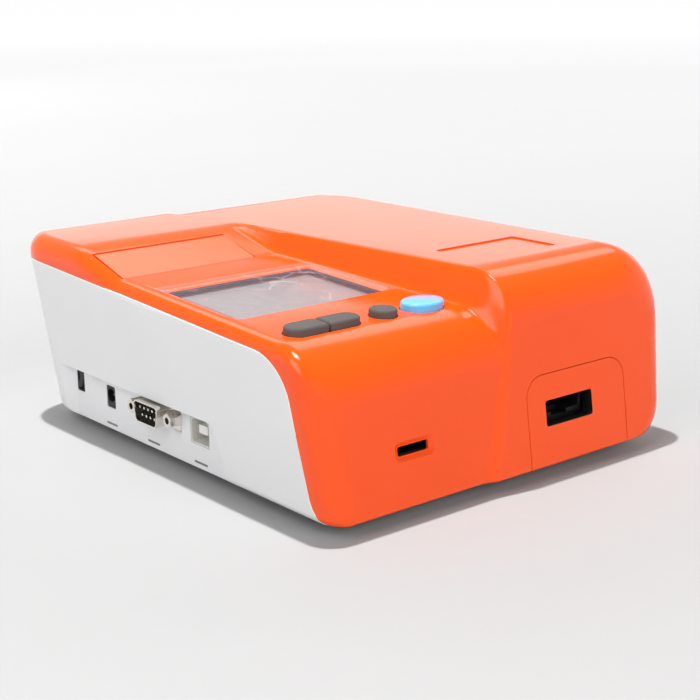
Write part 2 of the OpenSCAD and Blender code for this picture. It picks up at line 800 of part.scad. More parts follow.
module display_board() color(board_green) on_deck()
    translate([display_x, display_y, lcd_low - board_t]) linear_extrude(board_t)
        rounded(display_w + 2 * ring_out, display_board_d, 1);

// A key's cap over its flange, from a list of outlines
module key_solid(x, caps) {
    on_deck() translate([x, keys_y, 0]) {
        stack(concat([caps[0]], caps), concat([flange_z + key_flange - EPS], cap_heights));
        translate([0, 0, flange_z]) linear_extrude(key_flange) children();
    }
}

module half_key(side) {
    caps = [for (g = cap_insets) -side * half_pill(half_l - 2 * g, pill_d - 2 * g, 9)];
    key_solid(pill_x + side * half_mid, caps)
        translate([side * 0.6, 0]) square([half_l, pill_d + 2 * key_skirt], center = true);
}

module key_left() color(grey_key) half_key(-1);

module key_right() color(grey_key) half_key(1);

module key_round() color(grey_key)
    key_solid(round_x, [for (g = cap_insets) circle_points(round_d - 2 * g, 48)])
        circle(round_d / 2 + key_skirt);

module key_oval() color([0.55, 0.72, 0.9])
    key_solid(oval_x, [for (g = cap_insets) ellipse(oval_l - 2 * g, oval_d - 2 * g, 48)])
        oval_outline(key_skirt);

tact_places = [pill_x - half_mid, pill_x + half_mid, round_x, oval_x];

module keypad_board() color(board_green) on_deck()
    box([keypad_lo[0], keypad_lo[1], keypad_z - board_t], [keypad_hi[0], keypad_hi[1], keypad_z]);

module tact_switches() color(black) on_deck() for (x = tact_places) {
    box([x - 3, keys_y - 3, keypad_z], [x + 3, keys_y + 3, keypad_z + 2.4]);
    post(x, keys_y, keypad_z + 2.3, tact_top, 1.7);
}

module main_board() color(board_green) difference() {
    box([board_lo[0], board_lo[1], board_top - board_t], [board_hi[0], board_hi[1], board_top]);
    for (p = standoffs) post(p[0], p[1], 0, 30, board_screw_r + bore_slack);
}

module board_chips() color(black) {
    for (c = chips) translate([board_lo[0] + c[0], board_lo[1] + c[1], board_top]) linear_extrude(chip_t)
        square([c[2], c[3]], center = true);
    for (c = capacitors) post(board_lo[0] + c[0], board_lo[1] + c[1], board_top, board_top + 9, 4);
}

module board_screws() color(metal) for (p = standoffs) {
    post(p[0], p[1], board_top - 7, board_top + 0.5, board_screw_r);
    post(p[0], p[1], board_top, board_top + 1.5, 2.2);
}

module case_screws() color(metal) for (p = boss_places) difference() {
    union() {
        post(p[0], p[1], boss_top - screw_grip - screw_head_t, boss_top - screw_grip, screw_head_r);
        post(p[0], p[1], boss_top - screw_grip - 1, boss_top + screw_bite - 1, screw_r);
    }
    for (a = [0, 90]) translate([p[0], p[1], boss_top - screw_grip - screw_head_t - 1]) rotate(a)
        translate([-2, -0.4, 0]) cube([4, 0.8, 2]);
}

module feet() color(black) for (p = foot_places) translate([p[0], p[1], 0]) {
    cylinder(r1 = foot_r - 0.8, r2 = foot_r, h = 0.8);
    translate([0, 0, 0.8]) cylinder(r = foot_r, h = foot_h + foot_seat - 0.8);
}

// The nine-pin connector's outline, its wide side up, grown by g
module dee(g) {
    w = serial_w / 2;
    h = serial_h / 2;
    taper = tan(10) * serial_h;
    offset(g) offset(2) offset(-2) polygon([[-w, h], [w, h], [w - taper, -h], [taper - w, -h]]);
}

module serial_shell() color(metal) difference() {
    union() {
        from_left(recess_x, recess_x + flange_t, serial_y, serial_z)
            rounded(flange_w, flange_h, 1);
        from_left(shroud_x, recess_x + flange_t, serial_y, serial_z) dee(0);
    }
    from_left(shroud_x - 1, recess_x + 2, serial_y, serial_z) dee(-0.5);
    for (side = [-1, 1]) bar_x(recess_x - 1, recess_x + 2, serial_y + side * jackscrew_at, serial_z, 1.6);
}

function pin_row(n) = [for (i = [0 : n - 1]) (i - (n - 1) / 2) * pin_pitch];
serial_contacts = concat([for (y = pin_row(5)) [y, row_pitch / 2]],
    [for (y = pin_row(4)) [y, -row_pitch / 2]]);

module serial_insert() color(black) difference() {
    union() {
        from_left(recess_x - 1.2, recess_x + flange_t + 1, serial_y, serial_z) dee(-0.55);
        from_left(recess_x + flange_t, recess_back + 0.4, serial_y, serial_z)
            square([flange_w, flange_h], center = true);
        from_left(recess_back + 0.3, recess_x + 9, serial_y, serial_z)
            translate([-flange_w / 2, board_top - serial_z])
                square([flange_w, serial_z + flange_h / 2 - board_top]);
    }
    for (c = serial_contacts) bar_x(recess_x - 3, recess_x + 10, serial_y + c[0], serial_z + c[1], 0.52);
    for (side = [-1, 1]) bar_x(recess_x, recess_x + 7, serial_y + side * jackscrew_at, serial_z, 1.6);
}

module serial_pins() color(metal) for (c = serial_contacts)
    bar_x(pin_tip_x, recess_x + 9, serial_y + c[0], serial_z + c[1], 0.5);

module serial_jackscrews() color(metal)
    for (y = [serial_y - jackscrew_at, serial_y + jackscrew_at]) difference() {
        union() {
            translate([0, y, serial_z]) rotate([0, 90, 0]) translate([0, 0, recess_x - 5])
                cylinder(r = 2.9, h = 5, $fn = 6);
            bar_x(recess_x - 0.5, recess_x + 6, y, serial_z, 1.5);
        }
        bar_x(recess_x - 6, recess_x - 0.8, y, serial_z, 1.3);
    }

module data_outline(g) {
    w = data_w / 2 - g;
    h = data_h / 2 - g;
    cut = 2.2;
    polygon([[-w, -h], [w, -h], [w, h - cut], [w - cut, h], [cut - w, h], [-w, h - cut]]);
}

module data_port_shell() color(metal) difference() {
    from_left(recess_x + 0.1, recess_x + 15, data_y, data_z) data_outline(0);
    from_left(recess_x - 1, recess_x + 14.4, data_y, data_z) data_outline(0.5);
}

module data_port_tongue() color([0.93, 0.93, 0.9]) {
    from_left(recess_x + 9.5, recess_x + 14.4, data_y, data_z) data_outline(0.5);
    from_left(recess_x + 1.5, recess_x + 10, data_y, data_z) rounded(5.6, 3.2, 0.3);
}

module power_jack() color(black) difference() {
    union() {
        from_left(recess_x + 0.2, recess_back + 0.3, jack_y, jack_z) rounded(jack_w, jack_h, 0.7);
        box([recess_back + 0.2, jack_y - 4.5, board_top], [recess_back + 13, jack_y + 4.5, board_top + 9.4]);
    }
    bar_x(recess_x - 1, recess_back + 9, jack_y, jack_z + 0.6, 2.7);
}

module power_jack_pin() color(metal) bar_x(recess_x + 1.6, recess_back + 9, jack_y, jack_z + 0.6, 0.65);

module switch_body() color(black) difference() {
    union() {
        from_left(recess_x, recess_back + 0.3, switch_y, switch_z) rounded(switch_w, switch_h, 0.4);
        box([recess_back + 0.2, switch_y - 4, board_top], [recess_back + 10, switch_y + 4, switch_z + 5.2]);
    }
    difference() {
        from_left(recess_x - 1, recess_x + 6, switch_y, switch_z) square([3.8, 8.5], center = true);
        bar_y(rocker_x, switch_y - 3, switch_y + 3, switch_z, rocker_pin_r);
    }
}

// The rocker at rest, turned half of its throw with its upper end in
module power_rocker() color(black) translate([rocker_x, switch_y, switch_z]) rotate([0, rocker_turn / 2, 0])
    difference() {
        along(-1.6, 1.6) polygon([[-2.6, 0], [-3.05, 3.6], [-0.6, 3.6], [1.3, 2], [1.3, -2],
            [-0.6, -3.6], [-3.05, -3.6]]);
        bar_y(0, -3, 3, 0, rocker_pin_r + shaft_gap);
    }

module chip_socket() color(black) difference() {
    y0 = front_y(chip_z) + front_step + wall + 0.9;
    union() {
        box([chip_x - 9, y0, chip_z - 4], [chip_x + 9, y0 + 24, chip_z + 4]);
        for (x = [chip_x - 9, chip_x + 6]) box([x, y0 + 6, floor_z], [x + 3, y0 + 22, chip_z - 3]);
    }
    box([chip_x - chip_w / 2 - 0.3, y0 - 1, chip_z - chip_h / 2 - 0.2],
        [chip_x + chip_w / 2 + 0.3, y0 + 21, chip_z + chip_h / 2 + 0.2]);
}

module cartridge_tray() color(black) difference() {
    translate([window_x - tray_w / 2, tray_front, tray_z]) cube([tray_w, tray_l, tray_h]);
    translate([window_x - cartridge_w / 2, tray_front - 1, tray_z + tray_floor])
        cube([cartridge_w, cartridge_l, tray_h]);
    translate([window_x - 4, tray_front - 1, tray_z - 1]) cube([8, 7, 2 * tray_h]);
}

module tray_nut() color(metal) difference() {
    box([window_x + tray_w / 2, nut_y, screw_z - nut_half],
        [screw_x + nut_half, nut_y + nut_l, screw_z + nut_half]);
    bar_y(screw_x, nut_y - 1, nut_y + nut_l + 1, screw_z, screw_d / 2 + shaft_gap);
}

module tray_guide() color(black) difference() {
    wall_x = guide_x + guide_wall;
    union() {
        box([window_x - wall_x, guide_y0, guide_z], [window_x + wall_x, guide_y1, guide_z + guide_floor]);
        box([window_x - wall_x, guide_y0, guide_z], [window_x - guide_x, guide_y1, guide_top]);
        box([window_x + guide_x, guide_y0, guide_z], [window_x + wall_x, guide_open_y, guide_top]);
        box([window_x + guide_x, guide_open_y - bearing_l, screw_z - 5],
            [screw_x + 5, guide_open_y, screw_z + 5]);
        for (x = [-8, 8]) for (y = [guide_y0 + 8, guide_y1 - 8])
            post(window_x + x, y, floor_z, guide_z + 0.5, standoff_r);
    }
    bar_y(screw_x, screw_front - 0.5, guide_open_y + 1, screw_z, screw_d / 2 + shaft_gap);
}

module lead_screw() color(metal)
    bar_y(screw_x, screw_front, motor_y + motor_l - 3, screw_z, screw_d / 2);

module tray_motor() color(metal) difference() {
    union() {
        bar_y(screw_x, motor_y, motor_y + motor_l, screw_z, motor_r);
        bar_y(screw_x, motor_y - 1.5, motor_y, screw_z, 4);
    }
    bar_y(screw_x, motor_y - 3, motor_y + motor_l - 2.5, screw_z, screw_d / 2 + shaft_gap);
}

module motor_bracket() color([0.5, 0.52, 0.55]) difference() {
    union() {
        box([screw_x - 12, motor_y - plate_t, floor_z], [screw_x + 12, motor_y, screw_z + 11]);
        box([screw_x - 12, motor_y - 0.1, floor_z], [screw_x + 12, motor_y + 16, floor_z + 2]);
    }
    bar_y(screw_x, motor_y - 4, motor_y + 1, screw_z, 4.05);
}

// The slope of the lamp's axis, rearward and up at 45 degrees
module lamp_axis() {
    translate([window_x, beam_y, head_lo[2] + 3]) rotate([-45, 0, 0]) children();
}

module optical_head() color(black) difference() {
    box(head_lo, head_hi);
    post(window_x, beam_y, head_lo[2] - 1, head_hi[2] + 1, beam_r);
    lamp_axis() cylinder(r = beam_r + bore_slack, h = 60);
}

module lamp_tube() color(metal) lamp_axis() translate([0, 0, 10]) difference() {
    cylinder(r = beam_r, h = lamp_l);
    translate([0, 0, -1]) cylinder(r = beam_r - 1, h = lamp_l - 2);
}

module detector_board() color(board_green) {
    translate([window_x, beam_y, head_hi[2]]) {
        linear_extrude(board_t) square([34, 24], center = true);
        linear_extrude(board_t + 2.5) square(10, center = true);
    }
}

// Printer mechanism
function gear_outline(n, m) =
    let (
        r = m * n / 2,
        tip = r + 0.85 * m,
        root = r - 1.25 * m,
        half = PI * m / 4 - 0.14 * m,
        tip_a = (half - 0.31 * m) / tip * 180 / PI,
        root_a = (half + 0.36 * m) / root * 180 / PI
    )
    [for (i = [0 : n - 1]) let (a = 360 * i / n) each [
        [root * cos(a - root_a), root * sin(a - root_a)], [tip * cos(a - tip_a), tip * sin(a - tip_a)],
        [tip * cos(a + tip_a), tip * sin(a + tip_a)], [root * cos(a + root_a), root * sin(a + root_a)]]];

// A gear with a tooth at the angle given, measured in the ramp's frame
module ramp_gear(n, v, tooth_at) {
    ramp_across(gear_x, gear_x + gear_w) translate([platen_u, v]) rotate(tooth_at)
        polygon(gear_outline(n, gear_m));
}

module printer_frame() color([0.3, 0.3, 0.32]) difference() {
    union() {
        for (x = cheek_xs) ramp_across(x, x + cheek_t) {
            polygon([[-9.3, -1.2], [-5, -2.4], [-2, -9.8], [12, -9.8], [14, -14], [24, -30], [12, -31],
                [2, -30]]);
            difference() {
                translate([roll_u, roll_v]) circle(roll_r + trough_t + 1.2);
                translate([0, roll_v + 4]) square([60, 60]);
            }
        }
        ramp_across(bay_x0 - 0.7, bay_x1 + 0.7) polygon(concat(
            arc2([roll_u, roll_v], roll_r + trough_t, 176, 395, 24),
            arc2([roll_u, roll_v], roll_r, 395, 176, 24)));
        across(bay_x0 - 0.7, bay_x1 + 0.7) translate([60.5, case_h - wall - skin])
            polygon([[0, 0], [0, -5.8], [3.2, -5.8], [3.2, -2], [7, -2], [7, 0]]);
        on_deck() box([cheek_xs[0], 15, -wall - 2], [bay_x1 + cheek_t, 20, -wall - skin]);
    }
    ramp_bar(cheek_xs[0] - 1, bay_x0 + 1, platen_u, idler_v, idler_axle_r + 0.02);
    ramp_bar(cheek_xs[0] - 1, bay_x0 + 1, platen_u, pinion_v, pinion_shaft_r + 0.6);
}

module print_head() color(metal) {
    ramp_across(bay_x0, bay_x1) translate([2, platen_v - platen_d / 2 - 1.7]) square([8.4, 1.4]);
    ramp_across(bay_x0, bay_x1) translate([4, platen_v - platen_d / 2 - 4]) square([1.5, 2.4]);
}

module platen_roller() color(black) {
    ramp_bar(bay_x0 + 0.5, bay_x1 - 0.5, platen_u, platen_v, platen_d / 2);
    ramp_bar(arm_xs[0] + 0.2, arm_xs[1] + arm_t - 0.2, platen_u, platen_v, platen_shaft_r);
}

module platen_gear() color(white) difference() {
    ramp_gear(gear_n, platen_v, -90);
    ramp_bar(gear_x - 1, gear_x + gear_w + 1, platen_u, platen_v, platen_shaft_r + 0.02);
}

module idler_gear() color(white) difference() {
    ramp_gear(gear_n, idler_v, 90 + 180 / gear_n);
    ramp_bar(gear_x - 1, gear_x + gear_w + 1, platen_u, idler_v, idler_axle_r + shaft_gap);
}

module idler_axle() color(metal)
    ramp_bar(gear_x - 0.6, bay_x0, platen_u, idler_v, idler_axle_r);

module printer_motor() color(metal) difference() {
    ramp_bar(bay_x0, bay_x0 + printer_motor_l, platen_u, pinion_v, printer_motor_r);
    ramp_bar(bay_x0 - 1, bay_x0 + 8, platen_u, pinion_v, pinion_shaft_r + shaft_gap);
}

module motor_pinion() color(white) {
    ramp_gear(pinion_n, pinion_v, 90);
    ramp_bar(gear_x, bay_x0 + 7.5, platen_u, pinion_v, pinion_shaft_r);
}

upper_shell();
lower_shell();
cartridge_cover();
printer_lid();
lid_pin();
display_window();
lcd_panel();
lcd_frame();
display_board();
key_left();
key_right();
key_round();
key_oval();
keypad_board();
tact_switches();
main_board();
board_chips();
board_screws();
case_screws();
feet();
serial_shell();
serial_insert();
serial_pins();
serial_jackscrews();
data_port_shell();
data_port_tongue();
power_jack();
power_jack_pin();
switch_body();
power_rocker();
chip_socket();
cartridge_tray();
tray_nut();
tray_guide();
lead_screw();
tray_motor();
motor_bracket();
optical_head();
lamp_tube();
detector_board();
printer_frame();
print_head();
platen_roller();
platen_gear();
idler_gear();
idler_axle();
printer_motor();
motor_pinion();
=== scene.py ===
import json
import math

import bpy
from mathutils import Matrix, Vector, noise
from mathutils.bvhtree import BVHTree


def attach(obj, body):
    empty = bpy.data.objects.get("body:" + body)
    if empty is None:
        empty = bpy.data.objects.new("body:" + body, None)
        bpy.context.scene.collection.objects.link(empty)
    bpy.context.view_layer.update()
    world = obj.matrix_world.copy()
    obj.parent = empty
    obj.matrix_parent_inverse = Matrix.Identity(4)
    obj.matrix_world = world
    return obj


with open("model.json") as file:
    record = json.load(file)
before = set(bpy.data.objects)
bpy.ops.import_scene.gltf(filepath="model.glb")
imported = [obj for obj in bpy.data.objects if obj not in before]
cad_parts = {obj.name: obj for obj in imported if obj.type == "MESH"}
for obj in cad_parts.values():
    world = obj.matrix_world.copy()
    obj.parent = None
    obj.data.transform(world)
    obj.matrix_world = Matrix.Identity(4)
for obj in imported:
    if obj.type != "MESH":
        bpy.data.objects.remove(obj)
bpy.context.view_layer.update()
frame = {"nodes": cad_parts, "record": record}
NODES = frame["nodes"]
MM = 0.001

# The camera that took the photograph, in the row frame: metres, degrees, and the focal length
# in pixels of a photo that is PHOTO_PX wide
CAMERA_AT = (-0.355, -0.448, 0.1845)
YAW, PITCH, ROLL = 39.07, 15.01, 0.83
FOCAL_PX, PHOTO_PX = 1480, 700
SENSOR_MM = 36

# Sizes that the dressing shares with the solids, in millimetres and degrees
DECK_H, DECK_SLOPE = 67.4, 2.6
DISPLAY_AT, DISPLAY_SIZE, DISPLAY_SINK = (-43.5, -22.0), (65.0, 46.0), 1.6
SEAM_H, SEAM_SLOPE, SEAM_LEAN = 62.9, 3.0, 5.2
SEAM_R, SEAM_FOOT_R, SEAM_FRONT_Y = 18.0, 10.0, -88.0
FOOT_H = 5.0
WINDOW_AT, WINDOW_SIZE = (29.1, 24.5), (24.2, 9.4)
RECESS_X = -78.3

# Sizes of the dressing alone, in millimetres
WINDOW_MARGIN = (0.7, 0.9)
WINDOW_REAR_Y = -80
GASKET_RINGS = ((0.0, 2.0, -DISPLAY_SINK), (0.0, 2.0, -1.22), (-0.9, 1.7, -1.3),
                (-1.6, 1.4, -DISPLAY_SINK + 0.02))  # growth, corner radius and height of each
FILM_OVERHANG = (7.0, 6.0)
FILM_CELLS = (90, 64)
FILM_LIFT, FILM_SAG = 0.35, 0.5
FILM_LOOSE_RIM, FILM_SAG_RUN, FILM_FOLD_RUN = 3, 6, 5
FOLDS = ((35, 9.0, 0.22), (-20, 13.0, 0.2), (78, 17.0, 0.16))  # turn in degrees, pitch, height
LIP_WIDTH, LIP_LIFT = 0.6, 0.08
REAR_TURN_Y = 60
MARK_WIDTH, MARK_R, MARK_LIFT, MARK_Z = 0.9, 0.4, 0.03, 7.2
PORT_MARKS = ((41.5, 8.0), (10.9, 8.5), (-21.0, 8.5))  # place along the side, and length

# Radius in millimetres on the edges of the small pieces that the CAD leaves sharp
EDGE_RADIUS = {
    "cartridge_cover": 0.25, "printer_lid": 0.25, "serial_jackscrews": 0.2, "serial_insert": 0.1,
    "data_port_shell": 0.12, "data_port_tongue": 0.15, "power_jack": 0.12, "power_rocker": 0.3,
    "switch_body": 0.15, "feet": 0.3, "chip_socket": 0.3, "cartridge_tray": 0.25,
    "tray_guide": 0.25, "tray_nut": 0.25, "motor_bracket": 0.25, "optical_head": 0.4,
    "tray_motor": 0.4, "print_head": 0.15, "lead_screw": 0.2, "lamp_tube": 0.2,
    "platen_roller": 0.2,
}


# materials
def new_material(name):
    mat = bpy.data.materials.new(name)
    mat.use_nodes = True
    return mat, mat.node_tree, mat.node_tree.nodes["Principled BSDF"]


def object_place(tree):
    return tree.nodes.new("ShaderNodeTexCoord").outputs["Object"]


def noise_map(tree, scale, detail=3.0, rough=0.5, place=None):
    """Noise over the piece's own coordinates, or over the given ones. scale is in 1/m."""
    tex = tree.nodes.new("ShaderNodeTexNoise")
    tex.inputs["Scale"].default_value = scale
    tex.inputs["Detail"].default_value = detail
    tex.inputs["Roughness"].default_value = rough
    tree.links.new(place or object_place(tree), tex.inputs["Vector"])
    return tex.outputs["Fac"]


def ramp(tree, source, low, high, at=(0.3, 0.7)):
    """A colour that runs from low to high while the source crosses the two places of at."""
    node = tree.nodes.new("ShaderNodeValToRGB")
    ends = node.color_ramp.elements
    ends[0].position, ends[1].position = at
    ends[0].color, ends[1].color = (*low, 1), (*high, 1)
    tree.links.new(source, node.inputs["Fac"])
    return node.outputs["Color"]


def spread(tree, source, low, high, at=(0, 1)):
    """A number that runs from low to high while the source crosses the two places of at."""
    node = tree.nodes.new("ShaderNodeMapRange")
    node.inputs["From Min"].default_value, node.inputs["From Max"].default_value = at
    node.inputs["To Min"].default_value = low
    node.inputs["To Max"].default_value = high
    tree.links.new(source, node.inputs["Value"])
    return node.outputs["Result"]


def bump(tree, shader, layers):
    """Adds bump layers: each is (source, distance in metres, strength)."""
    normal = None
    for source, distance, strength in layers:
        node = tree.nodes.new("ShaderNodeBump")
        node.inputs["Distance"].default_value = distance
        node.inputs["Strength"].default_value = strength
        tree.links.new(source, node.inputs["Height"])
        if normal:
            tree.links.new(normal, node.inputs["Normal"])
        normal = node.outputs["Normal"]
    tree.links.new(normal, shader.inputs["Normal"])


def plastic(name, colour, rough, vary=0.06, grain=2500, depth=4e-6, coat=0.0, soil=0.0, ior=1.46):
    """Moulded plastic: faint colour drift, patchy gloss, fine grain and a moulding's slow waves."""
    mat, tree, shader = new_material(name)
    drift = noise_map(tree, 18, 4)
    low = [c * (1 - vary) for c in colour]
    high = [min(1, c * (1 + vary)) for c in colour]
    tree.links.new(ramp(tree, drift, low, high), shader.inputs["Base Color"])
    patch = noise_map(tree, 60, 5, 0.65)
    gloss = spread(tree, patch, rough * 0.82, min(1, rough * 1.2 + soil))
    tree.links.new(gloss, shader.inputs["Roughness"])
    waves = (noise_map(tree, 14, 1), 2e-5, 0.35)
    bump(tree, shader, [waves, (noise_map(tree, grain, 2), depth, 0.5)])
    shader.inputs["IOR"].default_value = ior
    shader.inputs["Coat Weight"].default_value = coat
    shader.inputs["Coat Roughness"].default_value = 0.12
    return mat


def metal(name, colour, rough, brushed=None):
    """Plated or brushed metal. brushed is the scale of its lines along each axis, in 1/m."""
    mat, tree, shader = new_material(name)
    shader.inputs["Metallic"].default_value = 1
    tint = ramp(tree, noise_map(tree, 300, 4), [c * 0.9 for c in colour], colour)
    tree.links.new(tint, shader.inputs["Base Color"])
    if brushed:
        stretch = tree.nodes.new("ShaderNodeMapping")
        stretch.inputs["Scale"].default_value = brushed
        tree.links.new(object_place(tree), stretch.inputs["Vector"])
        lines = noise_map(tree, 1, place=stretch.outputs["Vector"])
        bump(tree, shader, [(lines, 1e-5, 0.5)])
    else:
        bump(tree, shader, [(noise_map(tree, 1500, 2), 6e-6, 0.4)])
    gloss = spread(tree, noise_map(tree, 500, 3), rough * 0.7, rough * 1.3)
    tree.links.new(gloss, shader.inputs["Roughness"])
    return mat


def board_material(name):
    """A solder-masked circuit board, its tracks drawn by the edges of square cells."""
    mat, tree, shader = new_material(name)
    cells = tree.nodes.new("ShaderNodeTexVoronoi")
    cells.distance = "MANHATTAN"
    cells.inputs["Scale"].default_value = 350
    tree.links.new(object_place(tree), cells.inputs["Vector"])
    mask, track = (0.012, 0.09, 0.035), (0.03, 0.2, 0.085)
    colour = ramp(tree, cells.outputs["Distance"], mask, track, (0.35, 0.45))
    tree.links.new(colour, shader.inputs["Base Color"])
    shader.inputs["Roughness"].default_value = 0.35
    bump(tree, shader, [(cells.outputs["Distance"], 2e-5, 0.4)])
    return mat


def window_material(name):
    """The display's clear window: mostly see-through, with a glossy skin."""
    mat, tree, shader = new_material(name)
    shader.inputs["Base Color"].default_value = (0.26, 0.14, 0.19, 1)
    shader.inputs["Roughness"].default_value = 0.05
    shader.inputs["IOR"].default_value = 1.5
    shader.inputs["Alpha"].default_value = 0.12
    bump(tree, shader, [(noise_map(tree, 900, 1), 1e-6, 0.3)])
    return mat


def film_material(name):
    """A loose clear film: barely there on its flats, whitish along thin crease lines in patches,
    which are painted highlights on its creases.
    """
    mat, tree, shader = new_material(name)
    shift = tree.nodes.new("ShaderNodeVectorMath")
    shift.operation = "MULTIPLY_ADD"
    shift.inputs[1].default_value = (0.02, 0.02, 0.02)
    tree.links.new(noise_map(tree, 60, 2, 0.6), shift.inputs[0])
    tree.links.new(object_place(tree), shift.inputs[2])
    cells = tree.nodes.new("ShaderNodeTexVoronoi")
    cells.feature = "DISTANCE_TO_EDGE"
    cells.inputs["Scale"].default_value = 62
    tree.links.new(shift.outputs["Vector"], cells.inputs["Vector"])
    # Thin whitish lines along cell edges, in patches: painted highlights on the film's creases
    creases = spread(tree, cells.outputs["Distance"], 0.3, 0.0, (0.0, 0.04))
    patches = spread(tree, noise_map(tree, 45, 2), 0.0, 1.0, (0.5, 0.62))
    crease_highlight_paint = tree.nodes.new("ShaderNodeMath")
    crease_highlight_paint.operation = "MULTIPLY_ADD"
    crease_highlight_paint.inputs[2].default_value = 0.1
    tree.links.new(creases, crease_highlight_paint.inputs[0])
    tree.links.new(patches, crease_highlight_paint.inputs[1])
    tree.links.new(crease_highlight_paint.outputs["Value"], shader.inputs["Alpha"])
    shader.inputs["Base Color"].default_value = (0.72, 0.6, 0.65, 1)
    shader.inputs["Roughness"].default_value = 0.14
    shader.inputs["IOR"].default_value = 1.35
    ripples = (noise_map(tree, 120, 3, 0.6), 1.5e-4, 0.6)
    bump(tree, shader, [(cells.outputs["Distance"], 2e-4, 0.6), ripples])
    return mat


def lcd_material(name):
    """A switched-off liquid crystal panel: pale grey with a faint grid of pixels."""
    mat, tree, shader = new_material(name)
    grid = tree.nodes.new("ShaderNodeTexBrick")
    grid.offset = 0
    sizes = {"Scale": 1000, "Brick Width": 0.45, "Row Height": 0.45, "Mortar Size": 0.04}
    for key, value in sizes.items():
        grid.inputs[key].default_value = value
    for key, shade in (("Color1", 0.36), ("Color2", 0.37), ("Mortar", 0.32)):
        grid.inputs[key].default_value = (shade, shade * 1.01, shade * 0.97, 1)
    tree.links.new(object_place(tree), grid.inputs["Vector"])
    tree.links.new(grid.outputs["Color"], shader.inputs["Base Color"])
    gloss = spread(tree, noise_map(tree, 80, 3), 0.25, 0.4)
    tree.links.new(gloss, shader.inputs["Roughness"])
    return mat


BLACK = plastic("black_plastic", (0.009, 0.009, 0.01), 0.5, vary=0.2)
# The seam strip is near white, paler than the white shell: a painted highlight of the lip catching
# light
SEAM_HIGHLIGHT_PAINT = plastic("seam_lip_painted_highlight", (1.0, 0.95, 0.93), 0.3, vary=0.02)
# The port shell is a pale non-metallic plastic: its brightness is painted sheen in place of the
# metal's reflections
PORT_METAL_PAINTED_SHEEN = plastic("port_metal_painted_sheen", (0.74, 0.72, 0.67), 0.28, vary=0.05, coat=0.4)
MARK = plastic("mark_grey", (0.2, 0.2, 0.21), 0.6, vary=0.1)
FILM = film_material("film")
BY_SLOT = {
    "orange_shell": plastic("orange_shell", (1.0, 0.085, 0.003), 0.15, vary=0.03, ior=1.45),
    "white_shell": plastic("white_shell", (0.78, 0.78, 0.79), 0.4, vary=0.02, grain=3200,
                           depth=7e-6),
    "key_rubber": plastic("key_rubber", (0.088, 0.077, 0.07), 0.62, vary=0.16, grain=4200,
                          depth=1.2e-5, soil=0.05),
    "key_blue": plastic("key_blue", (0.13, 0.5, 0.93), 0.22, vary=0.04, coat=0.4),
    "foot_rubber": plastic("foot_rubber", (0.02, 0.02, 0.02), 0.8, vary=0.2, grain=2600,
                           depth=2e-5),
    "black_plastic": BLACK,
    "dark_plastic": plastic("dark_plastic", (0.07, 0.07, 0.075), 0.5, vary=0.15),
    "white_plastic": plastic("white_plastic", (0.86, 0.85, 0.82), 0.4, vary=0.04),
    "steel": metal("steel", (0.62, 0.62, 0.63), 0.3, brushed=(200, 6000, 6000)),
    "nickel": metal("nickel", (0.78, 0.74, 0.68), 0.2),
    "brass": metal("brass", (0.78, 0.58, 0.26), 0.3),
    "aluminium": metal("aluminium", (0.75, 0.76, 0.77), 0.35, brushed=(300, 300, 5000)),
    "zinc_bracket": metal("zinc_bracket", (0.5, 0.52, 0.54), 0.45),
    "board_green": board_material("board_green"),
    "lcd_grey": lcd_material("lcd_grey"),
    "clear_window": window_material("clear_window"),
}


# CAD nodes
def smooth(obj, angle=32, radius=0, even=False):
    """Shades a solid smoothly, with an optional small radius on its edges.

    The corners that neighbouring faces share are joined, faces that meet at more than angle
    degrees stay apart, and even lets the large faces lead the shading of the small ones beside
    them.
    """
    mesh = obj.data
    if "custom_normal" in mesh.attributes:
        mesh.attributes.remove(mesh.attributes["custom_normal"])
    mesh.polygons.foreach_set("use_smooth", [True] * len(mesh.polygons))
    weld = obj.modifiers.new("joined_corners", "WELD")
    weld.merge_threshold = 2e-6
    if radius:
        edge = obj.modifiers.new("edge_radius", "BEVEL")
        edge.width = radius * MM
        edge.segments = 2
        edge.limit_method = "ANGLE"
        edge.angle_limit = math.radians(40)
        edge.use_clamp_overlap = True
        edge.harden_normals = False
    split = obj.modifiers.new("crisp_edges", "EDGE_SPLIT")
    split.split_angle = math.radians(angle)
    split.use_edge_sharp = False
    if even or radius:
        obj.modifiers.new("even_shading", "WEIGHTED_NORMAL").keep_sharp = True


def paint_window_bore_shade(obj):
    """Blackens the faces that line the inside of the cartridge window: painted shade in the
    opening.
    """
    obj.data.materials.append(BLACK)
    for poly in obj.data.polygons:
        x, y, z = poly.center / MM
        beside = abs(x - WINDOW_AT[0]) < WINDOW_SIZE[0] / 2 + WINDOW_MARGIN[0]
        level = abs(z - WINDOW_AT[1]) < WINDOW_SIZE[1] / 2 + WINDOW_MARGIN[1]
        if beside and level and y < WINDOW_REAR_Y and abs(poly.normal.y) < 0.5:
            poly.material_index = 1


slot_of = {part["node"]: part["material_slot"] for part in frame["record"]["subparts"]}
for name, obj in NODES.items():
    obj.data.materials.clear()
    obj.data.materials.append(BY_SLOT[slot_of[name]])
    smooth(obj, radius=EDGE_RADIUS.get(name, 0), even=name in ("upper_shell", "lower_shell"))
    # The inside of the cartridge window is blackened as painted shade
    if name in ("upper_shell", "cartridge_cover"):
        paint_window_bore_shade(obj)
# The data port's metal shell takes the pale plastic, a painted sheen
NODES["data_port_shell"].data.materials[0] = PORT_METAL_PAINTED_SHEEN


# helpers for pieces
def deck_point(x, y, z=0.0):
    """A point of the deck's frame, in mm, as a row-frame vector in metres."""
    c, s = math.cos(math.radians(DECK_SLOPE)), math.sin(math.radians(DECK_SLOPE))
    return Vector((x, y * c - z * s, DECK_H + y * s + z * c)) * MM


